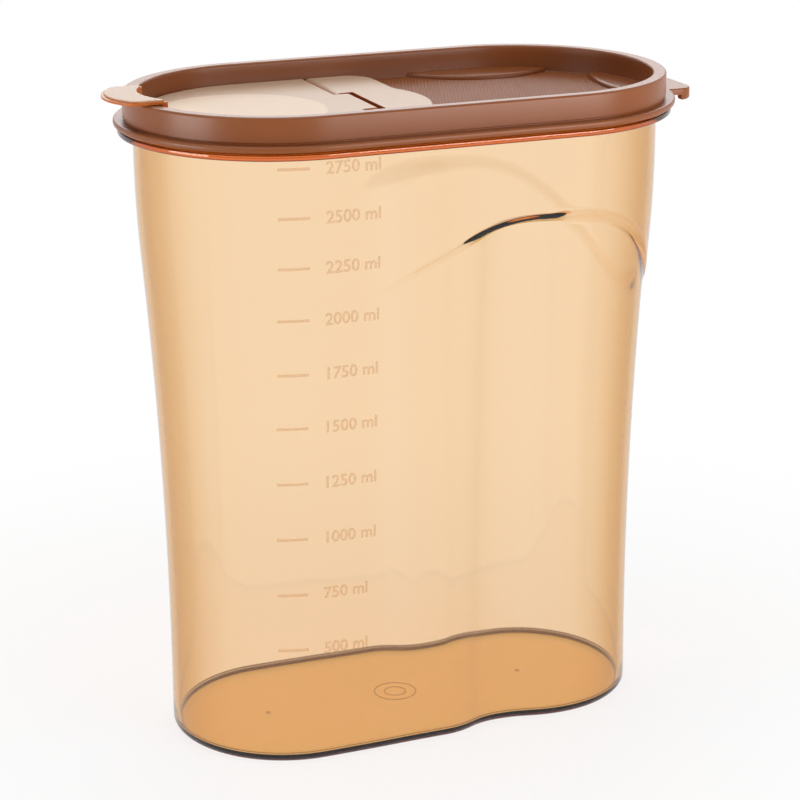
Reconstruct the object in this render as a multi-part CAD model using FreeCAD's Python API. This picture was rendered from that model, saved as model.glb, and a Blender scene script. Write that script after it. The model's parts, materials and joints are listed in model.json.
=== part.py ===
import FreeCAD, Part
import math
import os

from FreeCAD import Vector

# Storage box with a press-on lid and a pour flap. Millimetres, +Z up.
# The origin is the middle of the base, +X runs along the box away from the flap's finger tab.
# Every level plan is a stadium: two half circles about (-end_centre, 0) and (end_centre, 0), joined by
# straight sides. A "radius" below is that of the half circles, so it is also the half width of the plan.

# Plan and wall of the container
end_centre = 44.35
mouth_radius = 48.45
flare = 7.55
wall = 1.9
floor = 2.2
base_edge = 3.0
floor_edge = 2.0

# Heights of the container: an upright foot, a hollow flare, a round shoulder, an upright neck, the flange
wall_height = 215.2
foot_height = 20.0
shoulder_height = 36.0
neck_height = 7.2
flange_thickness = 2.0
flange_reach = 5.15
flange_edge = 0.6

# How far the right end stands out from the plan of the mouth, at the base
right_lean = 2.2

# Seating lip, which stands on the flange and enters the lid's channel
lip_wall = 1.7
lip_height = 10.2

# Grip: below a wave line the right part of the wall is drawn in to a waist. The lead-in starts off the left
# end's centre, the waist is set back from the right end's centre, and it swings in from its entry.
lead_offset = 6.35
waist_set_back = 21.35
waist_swing = 21.5
waist_depth = 5.6
waist_entry_depth = 0.6
waist_end_depth = 2.2
grip_end_inset = 0.8

# Wave line: level at its foot, up a slope to its crest, then down and round the right end
wave_crest_set_back = 12.35
wave_crest_drop = 19.6
wave_height = 22.1
wave_foot_radius = 40.0
wave_crest_radius = 64.8
wave_fall_radius = 58.0
wave_rise_angle = 25.5
wave_fall_angle = 65.0

# Lid: a channel over the lip, a sunk deck, and a bead above the container's flange
lid_fit = 0.25
seat_gap = 0.2
lid_gap = 0.8
rim_outer_wall = 1.25
rim_inner_wall = 1.2
rim_top = 1.4
rim_round = 0.9
deck_thickness = 1.8
bead_reach = 3.2
bead_height = 2.2
bead_round = 0.85

# Raised pads on the deck, along the rim's inner wall
pad_height = 1.5
side_pad_offset = 7.65
side_pad_reach = 16.5
side_pad_radius = 35.6
end_pad_reach = 12.35
end_pad_radius = 63.0

# Pull tab at the right end of the bead
pull_tab_half_width = 14.0
pull_tab_reach = 8.0
pull_tab_corner = 6.0
pull_tab_lip = 1.2
pull_tab_drop = 2.0

# Pour hole in the deck, and the flap's plug ring in it
pour_offset = 12.65
pour_radius = 26.5
plug_clearance = 0.3
plug_wall = 1.8
plug_below_deck = 0.9

# Flap, and the hinge between it and the plate beside it
cap_thickness = 2.1
cap_edge = 1.0
cap_side_clearance = 0.6
flap_lift = 0.3
hinge_x = -15.25
hinge_split = 0.5
knuckle_radius = 2.25
knuckle_half_length = 13.4
knuckle_nose = 0.65
knuckle_gap_side = 2.2
knuckle_gap_front = 1.35
pin_radius = 1.0
pin_clearance = 0.05
pin_length = 5.5
pin_end_gap = 0.4
arm_length = 5.0
pocket_clearance = 0.6
pocket_wall = 1.5

# Right edge of the hinge plate, with its lobe, and the clip pegs under it
plate_reach = 20.65
plate_corner = 10.0
lobe_reach = 4.3
lobe_half_width = 17.0
lobe_blend = 8.0
peg_radius = 1.8
peg_clearance = 0.1
peg_head_radius = 2.4
peg_head_height = 1.4
peg_head_gap = 0.2
side_peg_offset = 7.75
side_peg_y = 25.5
lobe_peg_inset = 1.9

# Finger tab of the flap, which passes over the lid's rim
tab_half_width = 14.5
tab_reach = 8.2
tab_thickness = 1.5
tab_gap = 0.25
tab_end_radius = 22.0
tab_corner = 5.0
tab_leg = 1.6
tab_notch_radius = 22.0
tab_notch_cover = 4.2

# Levels, radii and places that follow from the sizes above
base_radius = mouth_radius - flare
flare_start = foot_height
flare_end = wall_height - neck_height
flare_turn = flare_end - shoulder_height
flange_top = wall_height + flange_thickness
flange_radius = mouth_radius + flange_reach
lip_inner = mouth_radius
lip_outer = lip_inner + lip_wall
lip_top = flange_top + lip_height
waist_x = end_centre - waist_set_back
waist_entry_x = waist_x - waist_swing
waist_start_x = lead_offset - end_centre
wave_crest_x = end_centre - wave_crest_set_back
channel_inner = lip_inner - lid_fit
channel_outer = lip_outer + lid_fit
rim_outer = channel_outer + rim_outer_wall
rim_inner = channel_inner - rim_inner_wall
rim_z = lip_top + seat_gap + rim_top
deck_bottom = flange_top + lid_gap
deck_z = deck_bottom + deck_thickness
bead_outer = rim_outer + bead_reach
bead_z = deck_bottom + bead_height
pour_x = -end_centre - pour_offset
cap_radius = rim_inner - cap_side_clearance
flap_z = deck_z + flap_lift
cap_top = flap_z + cap_thickness
hinge_z = cap_top - knuckle_radius
nose_radius = knuckle_radius + knuckle_nose
plate_start_x = hinge_x - knuckle_radius
plate_edge_x = hinge_x + plate_reach
flap_edge_x = plate_start_x - hinge_split
notch_half_width = knuckle_half_length + knuckle_gap_side
notch_end_x = hinge_x + nose_radius + knuckle_gap_front
pocket_radius = nose_radius + pocket_clearance
pocket_half_length = notch_half_width + arm_length + pocket_clearance
peg_places = [(hinge_x + side_peg_offset, side_peg_y), (hinge_x + side_peg_offset, -side_peg_y),
              (plate_edge_x - lobe_peg_inset, 0)]


def arc(centre, radius, first, last, place):
    """An arc edge between two angles in degrees. place turns plane coordinates into a point."""
    points = []
    for angle in (first, (first + last) / 2, last):
        turn = math.radians(angle)
        points.append(place(centre[0] + radius * math.cos(turn), centre[1] + radius * math.sin(turn)))
    return Part.Arc(*points).toShape()


def line(start, end):
    return Part.LineSegment(start, end).toShape()


def stadium(left, right, radius, z):
    """A stadium wire about two end centres on the X axis."""
    level = lambda x, y: Vector(x, y, z)
    return Part.Wire([
        line(level(left, -radius), level(right, -radius)),
        arc((right, 0), radius, -90, 90, level),
        line(level(right, radius), level(left, radius)),
        arc((left, 0), radius, 90, 270, level),
    ])


def slab(radius, bottom, top):
    """A solid stadium between two levels."""
    return Part.Face(stadium(-end_centre, end_centre, radius, bottom)).extrude(Vector(0, 0, top - bottom))


def collar(outer, inner, bottom, top):
    return slab(outer, bottom, top).cut(slab(inner, bottom, top))


def box(x0, x1, y0, y1, z0, z1):
    return Part.makeBox(x1 - x0, y1 - y0, z1 - z0, Vector(x0, y0, z0))


def post(x, y, radius, bottom, top):
    return Part.makeCylinder(radius, top - bottom, Vector(x, y, bottom))


def barrel(radius, y0, y1):
    """A round bar on the hinge axis."""
    return Part.makeCylinder(radius, y1 - y0, Vector(hinge_x, y0, hinge_z), Vector(0, 1, 0))


def fuse(shapes):
    return shapes[0].multiFuse(shapes[1:]).removeSplitter()


def level_edges(shape, *levels):
    """The edges that lie wholly at one of the heights."""
    near = 1e-4
    return [e for e in shape.Edges
            if any(abs(e.BoundBox.ZMin - z) < near and abs(e.BoundBox.ZMax - z) < near for z in levels)]


def rounded_slab(radius, bottom, top, edge):
    """A stadium plate whose two edges are rounded by no more than its thickness allows."""
    plate = slab(radius, bottom, top)
    most = 0.4 * (top - bottom)
    return plate.makeFillet(min(edge, most), level_edges(plate, bottom, top))


def upright_edges(shape, x, y):
    """The upright straight edges at one place in plan."""
    near = 1e-3
    return [e for e in shape.Edges
            if e.BoundBox.XLength < near and e.BoundBox.YLength < near
            and abs(e.BoundBox.Center.x - x) < near and abs(abs(e.BoundBox.Center.y) - y) < near]


# Container

def bow(rise, run, height):
    """How far an arc that starts upright, and runs out by run over its rise, has run out at a height."""
    bend = (rise ** 2 + run ** 2) / (2 * run)
    return bend - math.sqrt(bend ** 2 - height ** 2)


def half_width(z):
    """Outer half width of the wall: upright, then a hollow flare, then a round shoulder up to the mouth."""
    if z <= flare_start:
        return base_radius
    if z >= flare_end:
        return mouth_radius
    hollow, round_part = flare_turn - flare_start, flare_end - flare_turn
    hollow_run = flare * hollow / (hollow + round_part)
    if z <= flare_turn:
        return base_radius + bow(hollow, hollow_run, z - flare_start)
    return mouth_radius - bow(round_part, flare - hollow_run, flare_end - z)


def right_centre(z):
    return end_centre + right_lean * (1 - z / flare_end)


def wall_levels(bottom):
    """Section heights for the wall's lofts."""
    steps = 8
    return [bottom] + [flare_start + (flare_end - flare_start) * i / steps for i in range(steps + 1)]


def plain_section(z, inset):
    return stadium(-end_centre, right_centre(z), half_width(z) - inset, z)


def ogee(start, end, place):
    """Two equal arcs that swing from one level to another, level at both ends."""
    run, rise = (end[0] - start[0]) / 2, (end[1] - start[1]) / 2
    radius = (run ** 2 + rise ** 2) / (2 * abs(rise))
    turn = math.degrees(math.asin(run / radius))
    up = math.copysign(1, rise)
    return [arc((start[0], start[1] + up * radius), radius, -up * 90, -up * (90 - turn), place),
            arc((end[0], end[1] - up * radius), radius, up * (90 + turn), up * 90, place)]


def grip_section(z, inset):
    """The plan below the wave, drawn in to a waist along the right part of both sides."""
    radius = half_width(z) - inset
    end_x = right_centre(z) + waist_end_depth - grip_end_inset
    swings = [(waist_start_x, 0), (waist_entry_x, waist_entry_depth), (waist_x, waist_depth),
              (end_x, waist_end_depth)]
    level = lambda x, y: Vector(x, y, z)
    edges = [arc((end_x, 0), radius - waist_end_depth, -90, 90, level),
             arc((-end_centre, 0), radius, 90, 270, level)]
    for sign in (-1, 1):
        place = lambda x, depth: Vector(x, sign * (radius - depth), z)
        edges.append(line(place(-end_centre, 0), place(waist_start_x, 0)))
        for begin, finish in zip(swings, swings[1:]):
            edges += ogee(begin, finish, place)
    return Part.Wire(Part.__sortEdges__(edges))


def loft(section, inset, bottom):
    return Part.makeLoft([section(z, inset) for z in wall_levels(bottom)], True, False)


def under_wave(lift, bottom):
    """A block that fills everything below the wave line, from beyond the left end to beyond the right end."""
    side = lambda x, z: Vector(x, -flange_radius, z)
    rise, fall = math.radians(wave_rise_angle), math.radians(wave_fall_angle)
    crest_z = flare_end - wave_crest_drop + lift
    foot_z = crest_z - wave_height
    bends = (wave_foot_radius + wave_crest_radius) * (1 - math.cos(rise))
    run = (wave_height - bends) / math.sin(rise)
    crest_low = side(wave_crest_x - wave_crest_radius * math.sin(rise),
                     crest_z - wave_crest_radius * (1 - math.cos(rise)))
    foot_high = crest_low - Vector(run * math.cos(rise), 0, run * math.sin(rise))
    foot_x = foot_high.x - wave_foot_radius * math.sin(rise)
    fall_end = side(wave_crest_x + wave_fall_radius * math.sin(fall),
                    crest_z - wave_fall_radius * (1 - math.cos(fall)))
    right_x = end_centre + flange_radius
    left_x = -right_x
    low_z = fall_end.z - (right_x - fall_end.x) * math.tan(fall)
    edges = [
        line(side(left_x, foot_z), side(foot_x, foot_z)),
        arc((foot_x, foot_z + wave_foot_radius), wave_foot_radius, -90, wave_rise_angle - 90, side),
        line(foot_high, crest_low),
        arc((wave_crest_x, crest_z - wave_crest_radius), wave_crest_radius, 90 + wave_rise_angle, 90, side),
        arc((wave_crest_x, crest_z - wave_fall_radius), wave_fall_radius, 90, 90 - wave_fall_angle, side),
        line(fall_end, side(right_x, low_z)),
        line(side(right_x, low_z), side(right_x, bottom)),
        line(side(right_x, bottom), side(left_x, bottom)),
        line(side(left_x, bottom), side(left_x, foot_z)),
    ]
    return Part.Face(Part.Wire(edges)).extrude(Vector(0, 2 * flange_radius, 0))


def wall_form(inset, bottom, edge, lift):
    """The plain form above the wave, on the gripped form below it, with a rounded bottom edge."""
    below = under_wave(lift, bottom)
    grip = loft(grip_section, inset, bottom)
    grip = grip.makeFillet(edge, level_edges(grip, bottom))
    return fuse([loft(plain_section, inset, bottom).cut(below), grip.common(below)])


def make_container():
    neck_inner = mouth_radius - wall
    flange = rounded_slab(flange_radius, wall_height, flange_top, flange_edge)
    outside = fuse([wall_form(0, 0, base_edge, 0), slab(mouth_radius, flare_end, wall_height), flange,
                    slab(lip_outer, flange_top, lip_top)])
    inside = fuse([wall_form(wall, floor, floor_edge, wall), slab(neck_inner, flare_end, flange_top),
                   slab(lip_inner, flange_top, lip_top)])
    return outside.cut(inside)


# Lid

def round_pad(x, y, radius):
    """A raised pad where a round patch of the deck meets the rim's inner wall."""
    patch = post(x, y, radius, deck_z - deck_thickness / 2, deck_z + pad_height)
    return patch.common(slab(rim_inner + rim_inner_wall / 2, deck_bottom, rim_z))


def make_pull_tab():
    """The lid's pull tab at the bead's level, with its end turned down."""
    end_x = end_centre + bead_outer + pull_tab_reach
    half = pull_tab_half_width
    start_x = end_centre + channel_outer
    low_z = deck_bottom - pull_tab_drop
    tab = box(start_x, end_x, -half, half, low_z, bead_z)
    tab = tab.makeFillet(pull_tab_corner, upright_edges(tab, end_x, half))
    under = box(start_x, end_x - pull_tab_lip, -half, half, low_z, deck_bottom)
    rim_space = slab(channel_outer + rim_outer_wall / 2, low_z, bead_z)
    return tab.cut(under).cut(rim_space)


def make_lid():
    rim = slab(rim_outer, deck_bottom, rim_z)
    rim = rim.makeFillet(rim_round, level_edges(rim, rim_z))
    bead = rounded_slab(bead_outer, deck_bottom, bead_z, bead_round)
    channel = collar(channel_outer, channel_inner, deck_bottom, rim_z - rim_top)
    recess = slab(rim_inner, deck_z, rim_z)
    body = fuse([rim, bead, make_pull_tab()]).cut(channel).cut(recess)

    side_pad_x = end_centre + side_pad_offset
    side_pad_y = rim_inner - side_pad_reach + side_pad_radius
    end_pad_x = end_centre + rim_inner - end_pad_reach + end_pad_radius
    pads = [round_pad(side_pad_x, side_pad_y, side_pad_radius),
            round_pad(side_pad_x, -side_pad_y, side_pad_radius),
            round_pad(end_pad_x, 0, end_pad_radius)]
    pocket_block = box(hinge_x - pocket_radius - pocket_wall, hinge_x + pocket_radius + pocket_wall,
                       -pocket_half_length - pocket_wall, pocket_half_length + pocket_wall,
                       hinge_z - pocket_radius - pocket_wall, deck_z)
    pocket = box(hinge_x - pocket_radius, hinge_x + pocket_radius, -pocket_half_length, pocket_half_length,
                 hinge_z - pocket_radius, deck_z)
    body = fuse([body] + pads + [pocket_block]).cut(pocket)
    body = body.cut(post(pour_x, 0, pour_radius, deck_bottom, deck_z))
    for x, y in peg_places:
        body = body.cut(post(x, y, peg_radius + peg_clearance, deck_bottom, deck_z))
    return body


# Hinge plate

def make_hinge_plate():
    """The fixed plate: a strip across the deck with a lobe, two hinge arms and three clip pegs."""
    strip = slab(cap_radius, deck_z, cap_top).common(
        box(plate_start_x, plate_edge_x, -cap_radius, cap_radius, deck_z, cap_top))
    lobe_radius = (lobe_half_width ** 2 + lobe_reach ** 2) / (2 * lobe_reach)
    lobe = post(plate_edge_x + lobe_reach - lobe_radius, 0, lobe_radius, deck_z, cap_top)
    lobe = lobe.common(box(hinge_x, plate_edge_x + lobe_reach, -lobe_half_width, lobe_half_width,
                           deck_z, cap_top))
    plate = fuse([strip, lobe])
    plate = plate.makeFillet(lobe_blend, upright_edges(plate, plate_edge_x, lobe_half_width))
    plate = plate.makeFillet(plate_corner, upright_edges(plate, plate_edge_x, cap_radius))
    plate = plate.makeFillet(cap_edge, level_edges(plate, cap_top))
    notch = box(plate_start_x, notch_end_x, -notch_half_width, notch_half_width, deck_z, cap_top)
    rolled_edge = barrel(knuckle_radius, -cap_radius, cap_radius)
    hinge_corner = box(plate_start_x, hinge_x, -cap_radius, cap_radius, hinge_z, cap_top).cut(rolled_edge)
    plate = plate.cut(notch).cut(hinge_corner)

    arms = []
    for side in (-1, 1):
        inner, outer = sorted((side * notch_half_width, side * (notch_half_width + arm_length)))
        arms.append(barrel(knuckle_radius, inner, outer))
    pegs = []
    head_top = deck_bottom - peg_head_gap
    for x, y in peg_places:
        pegs.append(post(x, y, peg_radius, head_top, deck_z))
        pegs.append(post(x, y, peg_head_radius, head_top - peg_head_height, head_top))
    plate = fuse([plate] + arms + pegs)
    bore_end = knuckle_half_length + pin_length + pin_end_gap
    return plate.cut(barrel(pin_radius + pin_clearance, -bore_end, bore_end))


# Pour flap

def make_knuckle():
    """The hinge knuckle: a bar on the hinge axis with a square nose, its top flush with the flap."""
    half = knuckle_half_length
    bar = barrel(knuckle_radius, -half, half)
    nose = box(hinge_x, hinge_x + knuckle_radius, -half, half, hinge_z, cap_top)
    nose = nose.common(barrel(nose_radius, -half, half))
    web = box(flap_edge_x - 2 * cap_edge, hinge_x, -half, half, flap_z, cap_top)
    pins = barrel(pin_radius, -half - pin_length, half + pin_length)
    return [bar, nose, web, pins]


def make_tab():
    """The finger tab: a crescent over the rim on two legs that stand on the flap, inside the rim."""
    rim_x = -end_centre - rim_outer
    end_x = rim_x - tab_reach
    top = rim_z + tab_gap + tab_thickness
    half = tab_half_width
    blade = box(end_x, -end_centre - cap_radius + tab_leg + half, -half, half, rim_z + tab_gap, top)
    blade = blade.common(post(end_x + tab_end_radius, 0, tab_end_radius, rim_z, top))
    corner_x = end_x + tab_end_radius - math.sqrt(tab_end_radius ** 2 - half ** 2)
    blade = blade.makeFillet(tab_corner, upright_edges(blade, corner_x, half))
    blade = blade.cut(slab(cap_radius - tab_leg, rim_z, top))
    legs = collar(cap_radius, cap_radius - tab_leg, flap_z, rim_z + tab_gap)
    legs = legs.common(box(end_x, -end_centre, -half, half, flap_z, top))
    notch_x = rim_x + tab_notch_cover + tab_notch_radius
    notch = post(notch_x, 0, tab_notch_radius, cap_top, top)
    return [blade.cut(notch), legs.cut(notch)]


def make_flap():
    plate = slab(cap_radius, flap_z, cap_top)
    plate = plate.common(box(-end_centre - cap_radius, flap_edge_x, -cap_radius, cap_radius, flap_z, cap_top))
    plate = plate.makeFillet(cap_edge, level_edges(plate, cap_top))
    plug_radius = pour_radius - plug_clearance
    plug = post(pour_x, 0, plug_radius, deck_bottom - plug_below_deck, flap_z)
    plug = plug.cut(post(pour_x, 0, plug_radius - plug_wall, deck_bottom - plug_below_deck, flap_z))
    return fuse([plate, plug] + make_knuckle() + make_tab())


os.makedirs("parts", exist_ok=True)
nodes = {
    "container": make_container(),
    "lid": make_lid(),
    "hinge_plate": make_hinge_plate(),
    "pour_flap": make_flap(),
}
for name, shape in nodes.items():
    shape.exportStep("parts/" + name + ".step")
    print(name, shape.ShapeType, len(shape.Solids), shape.isValid(), round(shape.Volume), shape.BoundBox)
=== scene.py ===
import json
import math

import bmesh
import bpy
from mathutils import Matrix, Vector


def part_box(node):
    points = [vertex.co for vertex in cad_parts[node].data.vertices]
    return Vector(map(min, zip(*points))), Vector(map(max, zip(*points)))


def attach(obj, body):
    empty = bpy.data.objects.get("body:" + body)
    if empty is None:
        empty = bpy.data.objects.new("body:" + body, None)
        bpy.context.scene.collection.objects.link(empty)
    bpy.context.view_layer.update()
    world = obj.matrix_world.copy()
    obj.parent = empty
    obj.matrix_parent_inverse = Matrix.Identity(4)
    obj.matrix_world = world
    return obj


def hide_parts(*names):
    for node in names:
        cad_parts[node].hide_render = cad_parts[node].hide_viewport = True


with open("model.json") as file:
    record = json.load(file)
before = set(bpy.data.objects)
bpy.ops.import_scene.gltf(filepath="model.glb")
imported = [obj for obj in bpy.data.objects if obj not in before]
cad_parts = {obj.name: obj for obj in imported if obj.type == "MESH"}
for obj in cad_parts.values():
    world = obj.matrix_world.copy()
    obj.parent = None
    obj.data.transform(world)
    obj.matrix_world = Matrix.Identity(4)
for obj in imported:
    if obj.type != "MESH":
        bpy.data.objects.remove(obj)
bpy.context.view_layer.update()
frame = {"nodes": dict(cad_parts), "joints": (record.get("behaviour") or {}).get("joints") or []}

# Shapes below are in millimetres, in the frame of the solids.
# Each piece is brought to metres when it is finished.
MM = 0.001


def highest(node):
    """Highest corner of a solid, in millimetres."""
    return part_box(node)[1] / MM


container_high, lid_high, plate_high = (highest(node) for node in ("container", "lid", "hinge_plate"))
hinge = next(joint for joint in frame["joints"] if joint["name"] == "flap_hinge")
hinge_x, _, hinge_z = (value / MM for value in hinge["pos_m"])

# Plan of the container: half circles about two end centres, joined by straight sides
flange_radius = container_high.y
end_centre = container_high.x - flange_radius
flange_reach = 5.15
mouth_radius = flange_radius - flange_reach
flare = 7.55
base_radius = mouth_radius - flare
wall = 1.9
floor_thickness = 2.2
base_edge = 3.0
floor_edge = 2.0

# Heights of the container
lip_top = container_high.z
lip_height = 10.2
lip_wall = 1.7
flange_thickness = 2.0
flange_edge = 0.6
flange_top = lip_top - lip_height
wall_height = flange_top - flange_thickness
neck_height = 7.2
shoulder_height = 36.0
flare_start = 20.0
flare_end = wall_height - neck_height
flare_turn = flare_end - shoulder_height
right_lean = 2.2

# Grip waist, and the wave line above it
waist_start_x = -38.0
waist_entry_x = 1.5
waist_x = 23.0
waist_depth = 5.6
waist_entry_depth = 0.6
waist_end_depth = 2.2
grip_end_inset = 0.8
wave_crest_x = 32.0
wave_crest_z = flare_end - 21.6
wave_height = 22.1
wave_foot_radius = 40.0
wave_crest_radius = 64.8
wave_fall_run, wave_fall_drop, wave_fall_power = 54.0, 29.0, 3.3
wave_rise = math.radians(25.5)
wave_sharp = 2.4
wave_soft = 5.5
wave_sharp_from, wave_sharp_to, wave_fade = -60.0, 36.0, 8.0
wave_lift = 1.4

# Lid
rim_z = lid_high.z
bead_outer = lid_high.y
bead_reach = 3.2
rim_outer = bead_outer - bead_reach
rim_inset = 1.45
rim_inner = mouth_radius - rim_inset
channel_gap = 0.25
channel_inner = mouth_radius - channel_gap
channel_outer = mouth_radius + lip_wall + channel_gap
rim_top_thickness = 1.4
channel_top = rim_z - rim_top_thickness
deck_gap = 0.8
deck_thickness = 1.8
bead_height = 2.2
deck_bottom = flange_top + deck_gap
deck_z = deck_bottom + deck_thickness
bead_z = deck_bottom + bead_height
pour_x = -57.0
pour_radius = 26.5
plate_end = 4.3
plate_edge_x = plate_high.x - plate_end

# Raised pads on the deck: round patches that meet the rim's inner wall
pad_height = 1.5
side_pad_radius = 35.6
end_pad_radius = 63.0
side_pad_offset = 7.65
side_pad_width = 16.5
end_pad_width = 12.35
side_pad_x = end_centre + side_pad_offset
side_pad_y = rim_inner - side_pad_width + side_pad_radius
end_pad_x = end_centre + rim_inner - end_pad_width + end_pad_radius

# Finger tab of the flap
tab_half = 14.5
tab_thickness = 1.5
tab_gap = 0.25
tab_overhang = 7.2
tab_bottom = rim_z + tab_gap
tab_end_x = -end_centre - rim_outer - tab_overhang
tab_arc = 22.0
tab_corner = 5.0
tab_inner_corner = 2.5
notch_arc = 22.0
notch_reach = 4.2
notch_x = -end_centre - rim_outer + notch_reach + notch_arc
leg_gap = 0.6
leg_thickness = 1.6
leg_radius = rim_inner - leg_gap - leg_thickness

# Faces round each end and along each side of a stadium loop
END_STEPS = 48
SIDE_STEPS = 72
LOOP = 2 * (END_STEPS + SIDE_STEPS)

# A face whose normal is at least this upright counts as level
LEVEL = 0.9999


# Plans and levels

def on_stadium(place, left, right, radius):
    """The point of a stadium loop with that running number, counted from the front of the right end."""
    if place < END_STEPS:
        turn = math.pi * (place / END_STEPS - 0.5)
        return right + radius * math.cos(turn), radius * math.sin(turn)
    place -= END_STEPS
    if place < SIDE_STEPS:
        return right + (left - right) * place / SIDE_STEPS, radius
    place -= SIDE_STEPS
    if place < END_STEPS:
        turn = math.pi * (place / END_STEPS + 0.5)
        return left + radius * math.cos(turn), radius * math.sin(turn)
    place -= END_STEPS
    return left + (right - left) * place / SIDE_STEPS, -radius


def bow(rise, run, height):
    """How far an arc that starts upright, and runs out by run over its rise, has run out at a height."""
    bend = (rise ** 2 + run ** 2) / (2 * run)
    return bend - math.sqrt(bend ** 2 - height ** 2)


def half_width(z):
    """Outer half width of the wall: upright, then a hollow flare, then a round shoulder up to the mouth."""
    if z <= flare_start:
        return base_radius
    if z >= flare_end:
        return mouth_radius
    hollow, shoulder = flare_turn - flare_start, flare_end - flare_turn
    hollow_run = flare * hollow / (hollow + shoulder)
    if z <= flare_turn:
        return base_radius + bow(hollow, hollow_run, z - flare_start)
    return mouth_radius - bow(shoulder, flare - hollow_run, flare_end - z)


def right_centre(z):
    """Centre of the right end, which leans out towards the base."""
    return end_centre + right_lean * max(0, 1 - z / flare_end)


def swing(start, end, x):
    """The level at x of two equal arcs that swing from one point to another."""
    run, rise = (end[0] - start[0]) / 2, (end[1] - start[1]) / 2
    radius = (run ** 2 + rise ** 2) / (2 * abs(rise))
    up = math.copysign(1, rise)
    if x < start[0] + run:
        return start[1] + up * (radius - math.sqrt(radius ** 2 - (x - start[0]) ** 2))
    return end[1] - up * (radius - math.sqrt(radius ** 2 - (end[0] - x) ** 2))


def grip_depth(x, end_x):
    """How far the side is drawn in at x, below the wave."""
    knots = [(waist_start_x, 0), (waist_entry_x, waist_entry_depth), (waist_x, waist_depth),
             (end_x, waist_end_depth)]
    if x <= waist_start_x:
        return 0
    for start, end in zip(knots, knots[1:]):
        if x <= end[0]:
            return swing(start, end, x)
    return waist_end_depth


def wave_level(x):
    """Height of the wave line: level at its foot, up a slope to its crest, then down round the right end."""
    foot_z = wave_crest_z - wave_height
    bends = (wave_foot_radius + wave_crest_radius) * (1 - math.cos(wave_rise))
    run = (wave_height - bends) / math.tan(wave_rise)
    crest_low_x = wave_crest_x - wave_crest_radius * math.sin(wave_rise)
    foot_high_x = crest_low_x - run
    foot_x = foot_high_x - wave_foot_radius * math.sin(wave_rise)
    if x <= foot_x:
        return foot_z
    if x <= foot_high_x:
        return foot_z + wave_foot_radius - math.sqrt(wave_foot_radius ** 2 - (x - foot_x) ** 2)
    if x <= crest_low_x:
        crest_low_z = wave_crest_z - wave_crest_radius * (1 - math.cos(wave_rise))
        return crest_low_z - (crest_low_x - x) * math.tan(wave_rise)
    if x <= wave_crest_x:
        return wave_crest_z - wave_crest_radius + math.sqrt(wave_crest_radius ** 2 - (x - wave_crest_x) ** 2)
    return wave_crest_z - wave_fall_drop * ((x - wave_crest_x) / wave_fall_run) ** wave_fall_power


def wave_step(x, y):
    """Height over which the wall steps in at the wave: sharp at the front's crest, soft elsewhere."""
    if y > 0:
        return wave_soft
    away = max(wave_sharp_from - x, x - wave_sharp_to, 0)
    share = max(0, 1 - away / wave_fade)
    return wave_soft + (wave_sharp - wave_soft) * share ** 2 * (3 - 2 * share)


def plain_point(place, z, inset):
    """A point of the wall above the wave."""
    x, y = on_stadium(place, -end_centre, right_centre(z), half_width(z) - inset)
    return Vector((x, y, z))


def grip_point(place, z, inset):
    """A point of the wall below the wave, where it is drawn in to the waist."""
    radius = half_width(z) - inset
    end_x = right_centre(z) + waist_end_depth - grip_end_inset
    x, y = on_stadium(place, -end_centre, end_x, radius)
    if x >= end_x:
        share = (radius - waist_end_depth) / radius
        return Vector((end_x + (x - end_x) * share, y * share, z))
    if x > -end_centre:
        return Vector((x, math.copysign(radius - grip_depth(x, end_x), y), z))
    return Vector((x, y, z))


def quarter(steps):
    """Angles over a quarter turn."""
    return [math.pi / 2 * i / steps for i in range(steps + 1)]


# Mesh tools

def sweep(bm, rows, count=LOOP):
    """A skin through closed loops. A row gives the point for each running number on its loop.
    Returns the edges of the first and the last loop."""
    number = bm.verts.layers.int.new("place")
    ring = bmesh.ops.create_circle(bm, segments=count, radius=1)["verts"]
    for place, vert in enumerate(ring):
        vert[number] = place
        vert.co = rows[0](place)
    first = loop = list({edge for vert in ring for edge in vert.link_edges})
    for row in rows[1:]:
        made = bmesh.ops.extrude_edge_only(bm, edges=loop)["geom"]
        verts = [item for item in made if isinstance(item, bmesh.types.BMVert)]
        for vert in verts:
            vert.co = row(vert[number])
        fresh = set(verts)
        loop = [item for item in made if isinstance(item, bmesh.types.BMEdge) and set(item.verts) <= fresh]
    return first, loop


def level(radius, z):
    """A row of a sweep: a level stadium about the two end centres of the mouth."""
    def row(place):
        x, y = on_stadium(place, -end_centre, end_centre, radius)
        return Vector((x, y, z))
    return row


def levels(profile):
    """Rows of a sweep for the points of a profile."""
    return [level(radius, z) for radius, z in profile]


def rounding(radius, z, size, first, last, steps=5):
    """Profile points on a small arc about (radius, z), between two angles in degrees."""
    turns = [math.radians(first + (last - first) * i / steps) for i in range(steps + 1)]
    return [(radius + size * math.cos(turn), z + size * math.sin(turn)) for turn in turns]


def piece(name, bm, body, finish, smooth_under=40):
    """Finishes a mesh: millimetres to metres, smooth faces with sharp corners kept, a material and a body.
    Level faces stay flat, so that no rounded edge shades them."""
    bmesh.ops.scale(bm, vec=(MM, MM, MM), verts=bm.verts)
    mesh = bpy.data.meshes.new(name)
    bm.to_mesh(mesh)
    bm.free()
    mesh.set_sharp_from_angle(angle=math.radians(smooth_under))
    for face in mesh.polygons:
        face.use_smooth = abs(face.normal.z) < LEVEL
    mesh.materials.append(finish.material)
    made = bpy.data.objects.new(name, mesh)
    bpy.context.scene.collection.objects.link(made)
    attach(made, body)
    return made


# Materials

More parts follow.
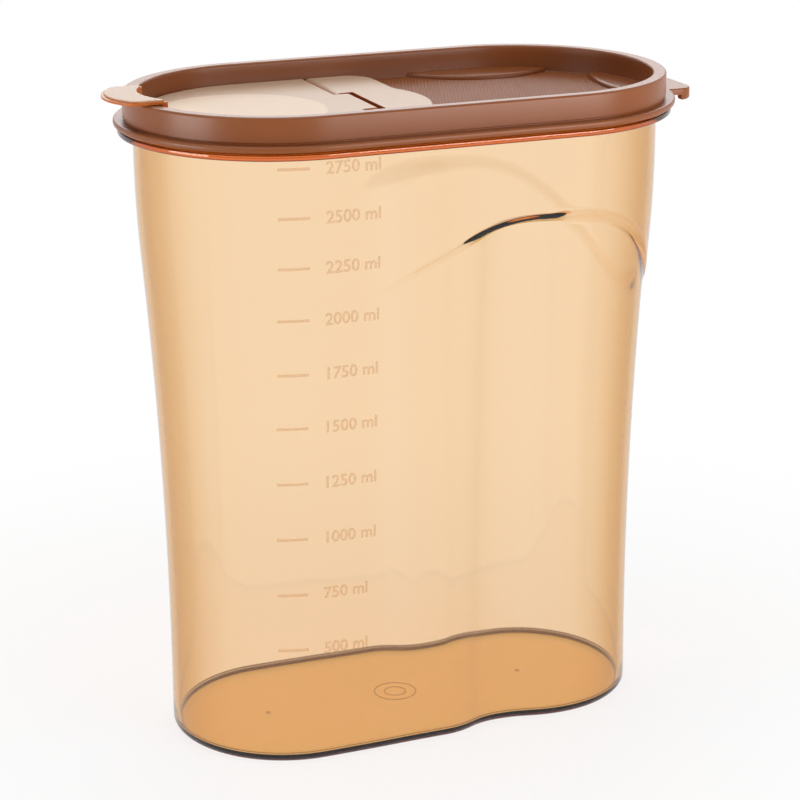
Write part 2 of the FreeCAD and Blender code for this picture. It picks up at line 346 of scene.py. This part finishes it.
class Value:
    """A value that runs over a surface. Arithmetic on it adds Math nodes."""

    def __init__(self, finish, socket):
        self.finish = finish
        self.socket = socket

    def math(self, operation, first, second=0.0):
        return self.finish.node("Math", {"operation": operation}, {0: first, 1: second})

    def __add__(self, other):
        return self.math("ADD", self, other)

    def __sub__(self, other):
        return self.math("SUBTRACT", self, other)

    def __rsub__(self, other):
        return self.math("SUBTRACT", other, self)

    def __mul__(self, other):
        return self.math("MULTIPLY", self, other)

    def __abs__(self):
        return self.math("ABSOLUTE", self)

    def __lt__(self, other):
        return self.math("LESS_THAN", self, other)

    __radd__ = __add__
    __rmul__ = __mul__

    def power(self, exponent):
        return self.math("POWER", self, exponent)

    def larger(self, other):
        return self.math("MAXIMUM", self, other)


class Finish:
    """A node tree under construction: a material's, or the world's."""

    def __init__(self, owner):
        owner.use_nodes = True
        self.material = owner
        self.tree = owner.node_tree
        self.tree.nodes.clear()

    def node(self, kind, settings=None, sockets=None, out=0):
        """Adds a node: its type, then its settings, then the values or links of its sockets."""
        made = self.tree.nodes.new("ShaderNode" + kind)
        for name, value in (settings or {}).items():
            setattr(made, name, value)
        for name, value in (sockets or {}).items():
            if isinstance(value, Value):
                self.tree.links.new(value.socket, made.inputs[name])
            else:
                made.inputs[name].default_value = value
        return Value(self, made.outputs[out])

    def place(self):
        """The surface point's x, y and z, in metres."""
        point = self.node("TexCoord", out="Object")
        return [self.node("SeparateXYZ", None, {0: point}, out=axis) for axis in range(3)]

    def noise(self, scale, detail=2.0, stretch=(1, 1, 1)):
        """Noise over the surface, 0 to 1."""
        point = self.node("TexCoord", out="Object")
        spread = self.node("Mapping", None, {"Vector": point, "Scale": stretch})
        return self.node("TexNoise", None, {"Vector": spread, "Scale": scale, "Detail": detail})

    def blend(self, share, first, second):
        """A colour between two colours."""
        return self.node("Mix", {"data_type": "RGBA"}, {0: share, 6: first, 7: second}, out=2)

    def smooth_step(self, value, low, high):
        """0 below the low end, 1 above the high end, and a soft rise between them."""
        return self.node("MapRange", {"interpolation_type": "SMOOTHSTEP"},
                         {"Value": value, "From Min": low, "From Max": high})

    def band(self, value, low, high, soft):
        """1 between two places in millimetres, with soft borders."""
        return (self.smooth_step(value, (low - soft) * MM, (low + soft) * MM)
                - self.smooth_step(value, (high - soft) * MM, (high + soft) * MM))

    def surface(self, shader, volume=None):
        """Joins a shader, and what fills the body, to the output."""
        sockets = {"Surface": shader}
        if volume:
            sockets["Volume"] = volume
        kind = "OutputWorld" if isinstance(self.material, bpy.types.World) else "OutputMaterial"
        node = self.tree.nodes.new("ShaderNode" + kind)
        for name, value in sockets.items():
            self.tree.links.new(value.socket, node.inputs[name])


def new_finish(name):
    """A new material under construction."""
    return Finish(bpy.data.materials.new(name))


def rgb(red, green, blue):
    """A colour written as the eye sees it, 0 to 255, made linear."""
    linear = []
    for part in (red, green, blue):
        share = part / 255
        linear.append(share / 12.92 if share <= 0.04045 else ((share + 0.055) / 1.055) ** 2.4)
    return (*linear, 1)


def amber_clear():
    """Polished clear plastic with an amber tint that deepens with thickness, painted shade over the base and
    painted dark shade lines round the base's edge.
    """
    finish = new_finish("amber_clear")
    streaks = finish.noise(18, 2, (1, 1, 0.15))
    _, _, z = finish.place()
    facing = finish.node("LayerWeight", None, {"Blend": 0.5}, out="Facing")
    colour = finish.blend(finish.smooth_step(facing, 0.15, 0.85), (1, 1, 1, 1), (0.66, 0.44, 0.05, 1))
    flange = finish.smooth_step(z, (wall_height - 0.1) * MM, (wall_height + 0.1) * MM)
    colour = finish.blend(flange, colour, (0.68, 0.18, 0.02, 1))
    # Painted shade: the base is tinted deeper amber, standing in for the shaded floor seen through it.
    painted_base_shade = 1 - finish.smooth_step(z, (floor_thickness + 0.05) * MM, (floor_thickness + 0.2) * MM)
    colour = finish.blend(painted_base_shade, colour, (0.84, 0.64, 0.27, 1))
    # Painted shade: two near-black lines round the base's rounded edge, where the clear plastic is seen dark.
    low_shade_line, high_shade_line, soft = (0.3, 1.4), (2.5, 3.4), 0.3
    painted_edge_shade = finish.band(z, *low_shade_line, soft) + finish.band(z, *high_shade_line, soft)
    colour = finish.blend(painted_edge_shade, colour, (0.06, 0.02, 0.008, 1))
    glass = finish.node("BsdfPrincipled", None, {
        "Base Color": colour, "Roughness": 0.015 + 0.03 * streaks, "IOR": 1.5, "Transmission Weight": 1.0})
    open_to_lamps = finish.node("BsdfTransparent", None, {"Color": (0.93, 0.78, 0.56, 1)})
    is_shadow = finish.node("LightPath", out="Is Shadow Ray")
    shader = finish.node("MixShader", None, {0: is_shadow, 1: glass, 2: open_to_lamps})
    tint = finish.node("VolumeAbsorption", None, {"Color": (0.911, 0.551, 0.017, 1), "Density": 230.0})
    finish.surface(shader, tint)
    return finish


def amber_mark(name, dark, light, alpha):
    """Raised marks of the same plastic, seen a little darker and more opaque."""
    finish = new_finish(name)
    grain = finish.noise(400, 1)
    shader = finish.node("BsdfPrincipled", None, {
        "Base Color": finish.blend(grain, dark, light), "Roughness": 0.25, "Alpha": alpha})
    finish.surface(shader)
    return finish


def brown_satin(name, roughness):
    """Satin brown plastic with a very fine grain."""
    finish = new_finish(name)
    cloud = finish.noise(25, 3)
    grain = finish.noise(900, 2)
    colour = finish.blend(cloud, rgb(133, 73, 35), rgb(141, 79, 40))
    bump = finish.node("Bump", None, {"Height": grain * 0.02, "Strength": 0.6, "Distance": 0.0005})
    shader = finish.node("BsdfPrincipled", None, {
        "Base Color": colour, "Roughness": roughness + 0.08 * grain, "Normal": bump, "IOR": 1.5,
        "Specular IOR Level": 0.3})
    finish.surface(shader)
    return finish


def peach_translucent():
    """Milky peach plastic, deeper orange where its edges are seen from the side."""
    finish = new_finish("peach_translucent")
    up = finish.node("SeparateXYZ", None, {0: finish.node("TexCoord", out="Normal")}, out=2)
    flat = finish.smooth_step(abs(up), 0.25, 0.97)
    x, y, _ = finish.place()
    cloud = finish.noise(30, 2)
    from_pour = x - pour_x * MM
    radius = (from_pour * from_pour + y * y).power(0.5)
    over_hole = 1 - finish.smooth_step(radius, 0.0285, 0.0300)
    top = finish.blend(over_hole, finish.blend(cloud, rgb(201, 168, 139), rgb(208, 176, 148)),
                       finish.blend(cloud, rgb(225, 192, 159), rgb(232, 201, 169)))
    top = finish.blend(finish.band(radius, 28.9, 30.0, 0.5) * 0.6, top, rgb(200, 168, 140))
    colour = finish.blend(flat, rgb(196, 106, 44), top)
    shader = finish.node("BsdfPrincipled", None, {
        "Base Color": colour, "Roughness": 0.34 + 0.06 * cloud, "IOR": 1.5, "Specular IOR Level": 0.2,
        "Subsurface Weight": 0.25, "Subsurface Radius": (1.0, 0.5, 0.25), "Subsurface Scale": 0.002})
    finish.surface(shader)
    return finish


amber = amber_clear()
scale_mark = amber_mark("amber_mark", rgb(200, 134, 64), rgb(212, 148, 80), 0.2)
base_mark = amber_mark("amber_base_mark", rgb(150, 84, 44), rgb(164, 96, 52), 0.3)
brown = brown_satin("brown_satin", 0.29)
brown_hatched = brown_satin("brown_hatched", 0.52)
peach = peach_translucent()


# Container

def wall_rows(inset, lift, bottom, edge):
    """Rows of one face of the wall, from inside its bottom edge up to the neck."""
    rows = [lambda place: grip_point(place, bottom, inset + edge + 1.5)]
    for turn in quarter(6):
        rows.append(lambda place, turn=turn: grip_point(place, bottom + edge * (1 - math.cos(turn)),
                                                        inset + edge * (1 - math.sin(turn))))

    def wave(place):
        return wave_level(plain_point(place, flare_turn, inset).x) + lift

    def step(place):
        return wave_step(*plain_point(place, flare_turn, inset).xy)

    start, below = bottom + edge, 36
    for i in range(1, below + 1):
        rows.append(lambda place, share=i / below: grip_point(
            place, start + (wave(place) - step(place) / 2 - start) * share, inset))
    turns = 14
    for i in range(1, turns + 1):
        def ledge(place, rise=i / turns):
            z = wave(place) + step(place) * (rise - 0.5)
            return grip_point(place, z, inset).lerp(plain_point(place, z, inset), rise ** 2 * (3 - 2 * rise))
        rows.append(ledge)
    above = 16
    for i in range(1, above + 1):
        def upper(place, share=i / above):
            low = wave(place) + step(place) / 2
            return plain_point(place, low + (flare_end - low) * share, inset)
        rows.append(upper)
    return rows


def make_container():
    """The clear wall and base as one closed shell, with its flange and seating lip."""
    lip_outer, lip_inner, neck_inner = mouth_radius + lip_wall, mouth_radius, mouth_radius - wall
    small = 0.35
    under = 0.7
    outside = wall_rows(0, 0, 0, base_edge)
    inside = wall_rows(wall, wave_lift, floor_thickness, floor_edge)
    collar = [(mouth_radius, wall_height - 3)]
    collar += rounding(mouth_radius + under, wall_height - under, under, 180, 90)
    collar += rounding(flange_radius - flange_edge, wall_height + flange_edge, flange_edge, -90, 0)
    collar += rounding(flange_radius - flange_edge, flange_top - flange_edge, flange_edge, 0, 90)
    collar += rounding(lip_outer + small, flange_top + small, small, 270, 180)
    collar += rounding(lip_outer - small, lip_top - small, small, 0, 90)
    collar += rounding(lip_inner + small, lip_top - small, small, 90, 180)
    collar += rounding(lip_inner - small, flange_top + small, small, 0, -90)
    collar += rounding(neck_inner + small, flange_top - small, small, 90, 180)
    collar += [(neck_inner, wall_height - 3)]
    bm = bmesh.new()
    first, last = sweep(bm, outside + levels(collar) + inside[::-1])
    for loop in (first, last):
        bmesh.ops.contextual_create(bm, geom=loop)
    bmesh.ops.recalc_face_normals(bm, faces=bm.faces)
    made = piece("clear_container", bm, "container", amber)
    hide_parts("container")


make_container()


# Volume scale on the front wall

mark_heights = {2750: 211.6, 2500: 195.3, 2250: 178.4, 2000: 160.6, 1750: 141.7, 1500: 122.8, 1250: 103.0,
                1000: 83.0, 750: 62.7, 500: 42.4}
tick_start_x, tick_end_x, tick_height, tick_gap = -61.0, -50.5, 0.9, 0.02
text_start_x, text_size, text_drop, letter_bevel = -45.2, 5.9, 0.36, 0.08
mark_relief = 0.3


def on_front(point):
    """Lays a flat point on the front wall: x along the wall, y up it, z out of it."""
    x, z, out = point
    radius = half_width(z)
    if x > -end_centre:
        return Vector((x, -radius - out, z))
    turn = (x + end_centre) / radius
    return Vector((-end_centre + (radius + out) * math.sin(turn), -(radius + out) * math.cos(turn), z))


def add_number(bm, words, x, z):
    """Raised lettering, laid on the wall."""
    curve = bpy.data.curves.new("number", "FONT")
    curve.body = words
    curve.size = text_size
    curve.extrude = mark_relief / 2
    curve.bevel_depth = letter_bevel
    curve.resolution_u = 3
    letters = bpy.data.objects.new("number", curve)
    bpy.context.scene.collection.objects.link(letters)
    bpy.context.view_layer.update()
    mesh = bpy.data.meshes.new_from_object(letters.evaluated_get(bpy.context.evaluated_depsgraph_get()))
    bpy.data.objects.remove(letters)
    before = len(bm.verts)
    bm.from_mesh(mesh)
    bm.verts.ensure_lookup_table()
    for vert in bm.verts[before:]:
        vert.co = on_front((x + vert.co.x, z + vert.co.y, vert.co.z + mark_relief / 2))
    bpy.data.meshes.remove(mesh)


def add_tick(bm, z):
    """A raised bar with rounded edges, laid on the wall."""
    made = bmesh.ops.create_grid(bm, x_segments=8, y_segments=1, size=1)["verts"]
    bmesh.ops.scale(bm, vec=((tick_end_x - tick_start_x) / 2, tick_height / 2, 1), verts=made)
    bmesh.ops.translate(bm, vec=((tick_end_x + tick_start_x) / 2, z, tick_gap), verts=made)
    faces = list({face for vert in made for face in vert.link_faces})
    bar = bmesh.ops.extrude_face_region(bm, geom=faces)["geom"]
    top = [item for item in bar if isinstance(item, bmesh.types.BMVert)]
    bmesh.ops.translate(bm, vec=(0, 0, mark_relief), verts=top)
    for vert in made + top:
        vert.co = on_front(vert.co)


def make_scale():
    """Every tick of the scale, with its volume beside it."""
    bm = bmesh.new()
    for volume, z in mark_heights.items():
        add_tick(bm, z)
        add_number(bm, f"{volume} ml", text_start_x, z - text_drop * text_size)
    bmesh.ops.remove_doubles(bm, verts=bm.verts, dist=0.001)
    bmesh.ops.recalc_face_normals(bm, faces=bm.faces)
    piece("volume_scale", bm, "container", scale_mark)


make_scale()


# Lid

def closed_loop(verts):
    """The edges among a set of vertices."""
    chosen = set(verts)
    return list({edge for vert in verts for edge in vert.link_edges if set(edge.verts) <= chosen})


def drop_loop(bm, edges, place):
    """Extrudes a loop of edges and moves the new loop's points by a rule. Returns the new loop."""
    made = bmesh.ops.extrude_edge_only(bm, edges=edges)["geom"]
    verts = [item for item in made if isinstance(item, bmesh.types.BMVert)]
    for vert in verts:
        vert.co = place(vert.co)
    return closed_loop(verts)


def rounded_loop(bm, half_x, half_y, corner, centre):
    """A loop of edges round a rectangle with rounded corners. Returns its vertices."""
    segments = 32
    turn = Matrix.Rotation(math.pi / segments, 4, "Z")
    verts = bmesh.ops.create_circle(bm, segments=segments, radius=corner, matrix=turn)["verts"]
    for vert in verts:
        vert.co.x += math.copysign(half_x - corner, vert.co.x)
        vert.co.y += math.copysign(half_y - corner, vert.co.y)
    bmesh.ops.translate(bm, vec=centre, verts=verts)
    return verts


def raised(bm, face, height):
    """Extrudes a face upwards. Returns the face's new place."""
    made = bmesh.ops.extrude_face_region(bm, geom=[face])["geom"]
    bmesh.ops.translate(bm, vec=(0, 0, height), verts=[v for v in made if isinstance(v, bmesh.types.BMVert)])
    return next(item for item in made if isinstance(item, bmesh.types.BMFace))


def soften(bm, face, size, segments=5):
    """Rounds the edges of a flat face, and keeps its middle flat."""
    bmesh.ops.bevel(bm, geom=list(face.edges), offset=size, affect="EDGES", segments=segments, profile=0.5,
                    material=-1)


def trim(bm, radius, keep):
    """Keeps what is inside ("INTERSECT") or outside ("DIFFERENCE") of an upright stadium block."""
    block = bmesh.new()
    first, last = sweep(block, levels([(radius, deck_bottom - 20), (radius, rim_z + 20)]))
    for loop in (first, last):
        bmesh.ops.contextual_create(block, geom=loop)
    bmesh.ops.recalc_face_normals(block, faces=block.faces)
    shapes = []
    for name, shape in (("raw", bm), ("block", block)):
        mesh = bpy.data.meshes.new(name)
        shape.to_mesh(mesh)
        shape.free()
        shapes.append(bpy.data.objects.new(name, mesh))
        bpy.context.scene.collection.objects.link(shapes[-1])
    cut = shapes[0].modifiers.new("trim", "BOOLEAN")
    cut.operation, cut.object, cut.solver = keep, shapes[1], "EXACT"
    bpy.context.view_layer.update()
    trimmed = bmesh.new()
    trimmed.from_object(shapes[0], bpy.context.evaluated_depsgraph_get())
    for shape in shapes:
        bpy.data.meshes.remove(shape.data)
    return trimmed


def make_lid():
    """The rim and its channel, swept round the plan, and the sunk deck with its pour hole and pocket."""
    small = 0.4
    round_top = 0.9
    bead_round = 0.85
    crease = 0.7
    profile = [(rim_inner - small - 1.2, deck_z)]
    profile += rounding(rim_inner - small, deck_z + small, small, -90, 0)
    profile += [(rim_inner, rim_z - 3)]
    profile += rounding(rim_inner + round_top, rim_z - round_top, round_top, 180, 90)
    profile += rounding(rim_outer - round_top, rim_z - round_top, round_top, 90, 0)
    profile += [(rim_outer, bead_z + 2), (rim_outer, bead_z + crease),
                (rim_outer - crease / 2, bead_z + crease / 2), (rim_outer - crease / 2, bead_z + 0.05),
                (rim_outer + 0.1, bead_z - 0.02)]
    profile += rounding(bead_outer - bead_round, bead_z - bead_round, bead_round, 90, 0)
    profile += rounding(bead_outer - bead_round, deck_bottom + bead_round, bead_round, 0, -90)
    profile += rounding(channel_outer + small, deck_bottom + small, small, 270, 180)
    profile += rounding(channel_outer - small, channel_top - small, small, 0, 90)
    profile += rounding(channel_inner + small, channel_top - small, small, 90, 180)
    profile += rounding(channel_inner - small, deck_bottom + small, small, 0, -90)
    profile += [(rim_inner - small - 1.2, deck_bottom)]
    bm = bmesh.new()
    deck_top, deck_under = sweep(bm, levels(profile))

    hole = bmesh.ops.create_circle(bm, segments=96, radius=pour_radius + small)["verts"]
    bmesh.ops.translate(bm, vec=(pour_x, 0, deck_z), verts=hole)
    hole_top = closed_loop(hole)
    middle = Vector((pour_x, 0, 0))

    def narrowed(point):
        out = (point - middle).xy.normalized() * pour_radius
        return Vector((pour_x + out.x, out.y, deck_z - small))

    hole_low = drop_loop(bm, hole_top, narrowed)
    hole_low = drop_loop(bm, hole_low, lambda point: Vector((point.x, point.y, deck_bottom)))

    pocket_x, pocket_y, pocket_wall, pocket_floor = 3.5, 21.2, 1.5, hinge_z - 3.5
    pocket_top = closed_loop(rounded_loop(bm, pocket_x, pocket_y, 0.8, (hinge_x, 0, deck_z)))
    pocket_low = drop_loop(bm, pocket_top, lambda point: Vector((point.x, point.y, pocket_floor)))
    block_top = closed_loop(rounded_loop(bm, pocket_x + pocket_wall, pocket_y + pocket_wall, 1.5,
                                         (hinge_x, 0, deck_bottom)))
    block_low = drop_loop(bm, block_top, lambda point: Vector((point.x, point.y, pocket_floor - pocket_wall)))
    for loop in (pocket_low, block_low):
        bmesh.ops.contextual_create(bm, geom=loop)
    bmesh.ops.triangle_fill(bm, edges=deck_top + hole_top + pocket_top, use_beauty=True, normal=(0, 0, 1))
    bmesh.ops.triangle_fill(bm, edges=deck_under + hole_low + block_top, use_beauty=True, normal=(0, 0, -1))
    bmesh.ops.recalc_face_normals(bm, faces=bm.faces)
    made = piece("lid_rim_and_deck", bm, "lid", brown)
    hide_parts("lid")


pads = {"deck_pad_back": (side_pad_x, side_pad_y, side_pad_radius),
        "deck_pad_front": (side_pad_x, -side_pad_y, side_pad_radius),
        "deck_pad_end": (end_pad_x, 0, end_pad_radius)}


def on_open_deck(x, y):
    """Whether a point of the deck is clear of the rim, the pads and the hinge plate."""
    margin, under_plate = 0.7, 12
    if x < plate_edge_x - under_plate:
        return False
    if math.hypot(max(abs(x) - end_centre, 0), y) > rim_inner - margin:
        return False
    return all(math.hypot(x - pad_x, y - pad_y) > radius + margin for pad_x, pad_y, radius in pads.values())


def make_hatching():
    """Fine raised points all over the open deck, in diagonal rows."""
    pitch, stretch, relief, between, sunk = 0.9, 2.6, 0.3, 0.02, 0.4
    half = 72.0
    steps = 2 * round(half / pitch)
    bm = bmesh.new()
    bmesh.ops.create_grid(bm, x_segments=2 * steps, y_segments=2 * steps, size=half)
    for vert in bm.verts:
        column, row = (round((value + half) / pitch * 2) for value in vert.co.xy)
        vert.co.z = relief if column % 2 and row % 2 else between
    bmesh.ops.rotate(bm, matrix=Matrix.Rotation(math.pi / 4, 3, "Z"), verts=bm.verts)
    bmesh.ops.scale(bm, vec=(1, stretch, 1), verts=bm.verts)
    bmesh.ops.translate(bm, vec=((plate_edge_x + end_centre + rim_inner) / 2, 0, deck_z), verts=bm.verts)
    outside = [face for face in bm.faces if not all(on_open_deck(*vert.co.xy) for vert in face.verts)]
    bmesh.ops.delete(bm, geom=outside, context="FACES")
    made = bmesh.ops.extrude_face_region(bm, geom=bm.faces[:])["geom"]
    for item in made:
        if isinstance(item, bmesh.types.BMVert):
            item.co.z = deck_z - sunk
    under = [item for item in made if isinstance(item, bmesh.types.BMFace)]
    bmesh.ops.dissolve_faces(bm, faces=under, use_verts=True)
    bmesh.ops.recalc_face_normals(bm, faces=bm.faces)
    piece("deck_hatching", bm, "lid", brown_hatched, smooth_under=15)


def make_pads():
    """Three raised pads on the deck, where round patches of it meet the rim's inner wall."""
    edge, sunk = 1.1, 0.6
    for name, (x, y, radius) in pads.items():
        bm = bmesh.new()
        disc = bmesh.ops.create_circle(bm, segments=180, radius=radius, cap_ends=True)["verts"]
        bmesh.ops.translate(bm, vec=(x, y, deck_z - sunk), verts=disc)
        top = raised(bm, disc[0].link_faces[0], pad_height + sunk)
        soften(bm, top, edge)
        bmesh.ops.recalc_face_normals(bm, faces=bm.faces)
        piece(name, trim(bm, rim_inner + 0.3, "INTERSECT"), "lid", brown)


def make_pull_tab():
    """The pull tab at the bead's right end, with its end turned down."""
    start_x, end_x, half, corner, drop, lip = end_centre + 40, lid_high.x, 14.0, 6.0, 2.0, 2.6
    bm = bmesh.new()
    outline = rounded_loop(bm, (end_x - start_x) / 2, half, corner, ((end_x + start_x) / 2, 0, deck_bottom))
    under = bmesh.ops.contextual_create(bm, geom=closed_loop(outline))["faces"][0]
    top = raised(bm, under, bead_z - deck_bottom)
    soften(bm, top, 0.6)
    rim = bmesh.ops.inset_region(bm, faces=[under], thickness=lip, use_even_offset=True)["faces"]
    end = [face for face in rim if face.calc_center_median().x > end_x - corner]
    made = bmesh.ops.extrude_face_region(bm, geom=end)["geom"]
    bmesh.ops.translate(bm, vec=(0, 0, -drop), verts=[v for v in made if isinstance(v, bmesh.types.BMVert)])
    bmesh.ops.delete(bm, geom=end, context="FACES_ONLY")
    low = [face for face in made if isinstance(face, bmesh.types.BMFace)]
    border = [edge for edge in {edge for face in low for edge in face.edges}
              if sum(face in low for face in edge.link_faces) == 1]
    bmesh.ops.bevel(bm, geom=border, offset=0.8, affect="EDGES", segments=4, profile=0.5, material=-1)
    bmesh.ops.recalc_face_normals(bm, faces=bm.faces)
    piece("pull_tab", trim(bm, rim_outer - 0.6, "DIFFERENCE"), "lid", brown)


def make_base_marks():
    """Moulding marks on the base: two fine rings in the middle and a round point to either side."""
    relief, gap, point_radius, point_offset = 0.15, 0.01, 1.0, 49.0
    middle = Vector((-2.6, 0, floor_thickness + gap))
    bm = bmesh.new()
    for radius, width in ((7.8, 0.5), (4.0, 0.4)):
        outer = bmesh.ops.create_circle(bm, segments=64, radius=radius,
                                        matrix=Matrix.Translation(middle))["verts"]
        others = set(bm.faces)
        drop_loop(bm, closed_loop(outer), lambda point: middle + (point - middle) * (1 - width / radius))
        ring = [face for face in bm.faces if face not in others]
        made = bmesh.ops.extrude_face_region(bm, geom=ring)["geom"]
        bmesh.ops.translate(bm, vec=(0, 0, relief),
                            verts=[v for v in made if isinstance(v, bmesh.types.BMVert)])
    for side in (-1, 1):
        place = Matrix.Translation(middle + Vector((side * point_offset, 0, 0)))
        disc = bmesh.ops.create_circle(bm, segments=24, radius=point_radius, cap_ends=True,
                                       matrix=place)["verts"]
        soften(bm, raised(bm, disc[0].link_faces[0], relief), relief / 2, 3)
    bmesh.ops.recalc_face_normals(bm, faces=bm.faces)
    piece("base_marks", bm, "container", base_mark)


make_base_marks()
make_lid()
make_hatching()
make_pads()
make_pull_tab()


# Hinge plate and pour flap

def smooth_copy(name, node, body, finish, top=None):
    """The solid's own mesh, welded and smoothed, and cut off level where a top is given."""
    bm = bmesh.new()
    bm.from_mesh(frame["nodes"][node].data)
    bmesh.ops.scale(bm, vec=(1 / MM,) * 3, verts=bm.verts)
    bmesh.ops.remove_doubles(bm, verts=bm.verts, dist=0.001)
    if top:
        bmesh.ops.bisect_plane(bm, geom=bm.verts[:] + bm.edges[:] + bm.faces[:], plane_co=(0, 0, top),
                               plane_no=(0, 0, 1), clear_outer=True)
        bmesh.ops.holes_fill(bm, edges=[edge for edge in bm.edges if edge.is_boundary])
        bmesh.ops.recalc_face_normals(bm, faces=bm.faces)
    made = piece(name, bm, body, finish, smooth_under=32)
    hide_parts(node)


def tab_outer_x(y):
    """Free edge of the finger tab: a flat arc with rounded corners."""
    middle_x, corner_y = tab_end_x + tab_arc, tab_half - tab_corner
    if abs(y) <= corner_y * tab_arc / (tab_arc - tab_corner):
        return middle_x - math.sqrt(tab_arc ** 2 - y ** 2)
    corner_x = middle_x - math.sqrt((tab_arc - tab_corner) ** 2 - corner_y ** 2)
    return corner_x - math.sqrt(max(0, tab_corner ** 2 - (abs(y) - corner_y) ** 2))


def tab_inner_x(y):
    """Inner edge of the finger tab: a hollow arc between its two arms, whose ends are rounded."""
    notch = notch_x - math.sqrt(notch_arc ** 2 - y ** 2)
    leg = -end_centre - math.sqrt(leg_radius ** 2 - y ** 2)
    past = max(0, abs(y) - (tab_half - tab_inner_corner))
    return min(notch, leg) - tab_inner_corner + math.sqrt(tab_inner_corner ** 2 - past ** 2)


def make_finger_tab():
    """The tab that passes over the rim, with fully rounded edges."""
    half, points = tab_thickness / 2, 28
    straight = tab_half - half
    stations = [(straight * (i / 24 - 1), 1.0) for i in range(49)]
    ends = [(straight + half * math.sin(turn), math.cos(turn)) for turn in quarter(6)[1:-1]]
    stations = [(-y, share) for y, share in ends[::-1]] + stations + ends

    def section(y, share):
        low, high = tab_outer_x(y), tab_inner_x(y)

        def row(place):
            turn = 2 * math.pi * (place + 0.5) / points
            middle = math.copysign((high - low) / 2 - half * share, math.cos(turn))
            return Vector(((low + high) / 2 + middle + half * share * math.cos(turn), y,
                           tab_bottom + half + half * share * math.sin(turn)))
        return row

    bm = bmesh.new()
    first, last = sweep(bm, [section(y, share) for y, share in stations], points)
    for loop in (first, last):
        bmesh.ops.contextual_create(bm, geom=loop)
    bmesh.ops.recalc_face_normals(bm, faces=bm.faces)
    piece("finger_tab", bm, "flap", peach)


smooth_copy("hinge_strip", "hinge_plate", "lid", peach)
smooth_copy("pour_cap", "pour_flap", "flap", peach, top=tab_bottom + tab_thickness / 2)
make_finger_tab()


# Stage: floor, light and camera

def seen_directly(finish):
    """1 for what the camera sees, straight, by reflection or through clear plastic.
    0 for light on surfaces."""
    kinds = "Is Camera Ray", "Is Glossy Ray", "Is Transmission Ray"
    paths = [finish.node("LightPath", out=kind) for kind in kinds]
    unscattered = finish.node("LightPath", out="Diffuse Depth") < 0.5
    return paths[0].larger(paths[1]).larger(paths[2]) * unscattered


def make_floor():
    """A pale floor that goes over to white away from the box, and keeps its shadow near it."""
    near, far, near_glow, gap = 0.09, 0.34, 0.8, 0.2
    bm = bmesh.new()
    bmesh.ops.create_grid(bm, x_segments=1, y_segments=1, size=6)
    bmesh.ops.translate(bm, vec=(0, 0, -gap * MM), verts=bm.verts)
    mesh = bpy.data.meshes.new("floor")
    bm.to_mesh(mesh)
    bm.free()
    finish = new_finish("pale_floor")
    point = finish.node("TexCoord", out="Object")
    distance = finish.node("VectorMath", {"operation": "LENGTH"}, {0: point}, out="Value")
    white = near_glow + (1 - near_glow) * finish.smooth_step(distance, near, far)
    diffuse = finish.node("BsdfDiffuse", None, {"Color": (0.9, 0.9, 0.9, 1)})
    glow = finish.node("Emission", None, {"Color": (1, 1, 1, 1), "Strength": 1.0})
    finish.surface(finish.node("MixShader", None, {0: seen_directly(finish) * white, 1: diffuse, 2: glow}))
    mesh.materials.append(finish.material)
    floor = bpy.data.objects.new("floor", mesh)
    bpy.context.scene.collection.objects.link(floor)


def make_world():
    """White where it is seen, and a faint even light in the room."""
    world = bpy.data.worlds.new("studio")
    bpy.context.scene.world = world
    finish = Finish(world)
    room = finish.node("Background", None, {"Color": (1, 1, 1, 1), "Strength": 0.11})
    white = finish.node("Background", None, {"Color": (1, 1, 1, 1), "Strength": 1.0})
    finish.surface(finish.node("MixShader", None, {0: seen_directly(finish), 1: room, 2: white}))


def add_lamp(name, place, target, size, power):
    """A rectangular soft lamp, turned to its target."""
    lamp = bpy.data.lights.new(name, "AREA")
    lamp.shape = "RECTANGLE"
    lamp.size, lamp.size_y = size
    lamp.energy = power
    made = bpy.data.objects.new(name, lamp)
    made.location = place
    made.rotation_euler = (Vector(place) - Vector(target)).to_track_quat("Z", "Y").to_euler()
    made.visible_transmission = False
    bpy.context.scene.collection.objects.link(made)


def make_camera():
    """The photograph's viewpoint."""
    camera = bpy.data.cameras.new("camera")
    camera.sensor_width = 36
    camera.lens = 115.66
    made = bpy.data.objects.new("camera", camera)
    back = Vector((-0.3606, -0.8821, 0.3032))
    roll = -0.003
    turn = back.to_track_quat("Z", "Y").to_matrix().to_4x4() @ Matrix.Rotation(roll, 4, "Z")
    made.matrix_world = Matrix.Translation((-0.3285, -0.8037, 0.390)) @ turn
    bpy.context.scene.collection.objects.link(made)
    bpy.context.scene.camera = made


make_floor()
make_world()
box_middle = (0, 0, 0.12)
add_lamp("key", (0.36, -0.6, 0.28), box_middle, (0.5, 0.26), 3.7)
add_lamp("overhead", (-0.15, 0.1, 1.45), box_middle, (1.0, 1.0), 7.5)
add_lamp("back", (0.55, 1.45, 0.95), box_middle, (1.6, 0.8), 11)
add_lamp("left", (-0.9, -0.1, 0.2), box_middle, (0.5, 0.3), 4)
make_camera()
bpy.context.scene.view_settings.view_transform = "Standard"
